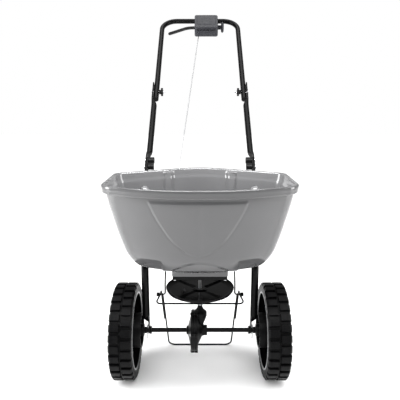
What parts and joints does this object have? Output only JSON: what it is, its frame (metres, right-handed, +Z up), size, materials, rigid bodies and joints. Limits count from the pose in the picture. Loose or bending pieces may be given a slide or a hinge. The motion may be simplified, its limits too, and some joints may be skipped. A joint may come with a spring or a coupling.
{
  "type": "broadcast spreader",
  "caption": "Walk-behind broadcast spreader: moulded hopper on a bent tube frame with two wheels, geared spreading disc, wire stand, folding handle and shutter lever.",
  "frame": {"origin": "on the floor, straight under the middle of the axle", "axes": "+X to the right seen from the front, -Y to the front, +Y towards the handle, +Z up"},
  "size_m": [0.4972, 1.0347, 1.1572],
  "materials": {
    "black_tube": "gloss powder coat",
    "hopper_plastic": "silver-grey, semi-gloss moulded",
    "black_moulding": "moulded black, satin",
    "gloss_black": "gloss",
    "box_plastic": "dark grey, fine texture",
    "cover_plastic": "silver-grey moulded",
    "lever_plastic": "black, satin",
    "bright_steel": "zinc plated",
    "gear_steel": "sintered",
    "black_wire": "gloss powder coat"
  },
  "bodies": {
    "chassis": {"frame_tube_left": "black_tube", "frame_tube_right": "black_tube", "mid_tube_left": "black_tube", "mid_tube_right": "black_tube", "joint_bolts": "bright_steel", "joint_nuts": "black_moulding", "axle_bushing_left": "black_moulding", "axle_bushing_right": "black_moulding", "hopper": "hopper_plastic", "hopper_bolts": "bright_steel", "hopper_nuts": "bright_steel", "outlet_plate": "black_moulding", "outlet_screws": "bright_steel", "shaft_bearing": "black_moulding", "gearbox_cover": "black_moulding", "gearbox_housing": "black_moulding", "gearbox_screws": "bright_steel", "wire_hanger_left": "black_wire", "wire_hanger_right": "black_wire", "hanger_tips": "black_moulding", "stand_wire": "black_wire", "front_brace_wire": "black_wire", "fold_bolts": "bright_steel"},
    "handle": {"handle_bow": "black_tube", "tube_plugs": "black_moulding", "control_box_front": "box_plastic", "control_box_rear": "box_plastic", "box_screws": "bright_steel", "lever_pivot_pin": "bright_steel"},
    "wing_knob_left": {"wing_knob_left": "black_moulding"},
    "wing_knob_right": {"wing_knob_right": "black_moulding"},
    "control_lever": {"control_lever": "lever_plastic"},
    "rate_knob": {"rate_knob": "box_plastic"},
    "control_rod": {"control_rod": "bright_steel"},
    "shutter": {"shutter_plate": "gloss_black"},
    "drive": {"axle": "black_tube", "wheel_right": "black_moulding", "wheel_cover_right": "cover_plastic", "cotter_pins": "bright_steel", "axle_spacers": "black_moulding", "hub_caps": "black_moulding", "bevel_gear": "gear_steel", "drive_pins": "bright_steel"},
    "wheel_left": {"wheel_left": "black_moulding", "wheel_cover_left": "cover_plastic"},
    "impeller": {"impeller_shaft": "bright_steel", "pinion": "gear_steel", "impeller_disc": "gloss_black", "agitator": "black_moulding", "impeller_pins": "bright_steel"}
  },
  "joints": [
    {"name": "handle_fold", "type": "hinge", "parent": "chassis", "child": "handle", "pos_m": [0, 0.416, 0.8376], "axis": [1, 0, 0], "range_deg": [0, 155]},
    {"name": "wing_knob_left_turn", "type": "hinge", "parent": "chassis", "child": "wing_knob_left", "pos_m": [0, 0.416, 0.8376], "axis": [1, 0, 0], "range_deg": [0, 360]},
    {"name": "wing_knob_right_turn", "type": "hinge", "parent": "chassis", "child": "wing_knob_right", "pos_m": [0, 0.416, 0.8376], "axis": [1, 0, 0], "range_deg": [0, 360]},
    {"name": "lever_swing", "type": "hinge", "parent": "handle", "child": "control_lever", "pos_m": [0.05, 0.72457, 1.10207], "axis": [0, 0.6508, -0.7593], "range_deg": [0, 18]},
    {"name": "rod_slide", "type": "slide", "parent": "chassis", "child": "control_rod", "axis": [0, 0.7593, 0.6508], "range_m": [0, 0.0186]},
    {"name": "shutter_slide", "type": "slide", "parent": "chassis", "child": "shutter", "axis": [0, 1, 0], "range_m": [0, 0.0142]},
    {"name": "rate_knob_turn", "type": "hinge", "parent": "handle", "child": "rate_knob", "pos_m": [0.08, 0.72457, 1.10207], "axis": [1, 0, 0], "range_deg": [0, 270]},
    {"name": "drive_spin", "type": "hinge", "parent": "chassis", "child": "drive", "pos_m": [0, 0, 0.14], "axis": [1, 0, 0], "continuous": true},
    {"name": "wheel_left_spin", "type": "hinge", "parent": "chassis", "child": "wheel_left", "pos_m": [0, 0, 0.14], "axis": [1, 0, 0], "continuous": true},
    {"name": "impeller_spin", "type": "hinge", "parent": "chassis", "child": "impeller", "pos_m": [0, 0, 0.27], "axis": [0, 0, 1], "continuous": true}
  ],
  "couplings": [
    {"joint": "impeller_spin", "follows": "drive_spin", "ratio": 4},
    {"joint": "rod_slide", "follows": "lever_swing", "m_per_rad": 0.053},
    {"joint": "shutter_slide", "follows": "lever_swing", "m_per_rad": 0.04024}
  ]
}
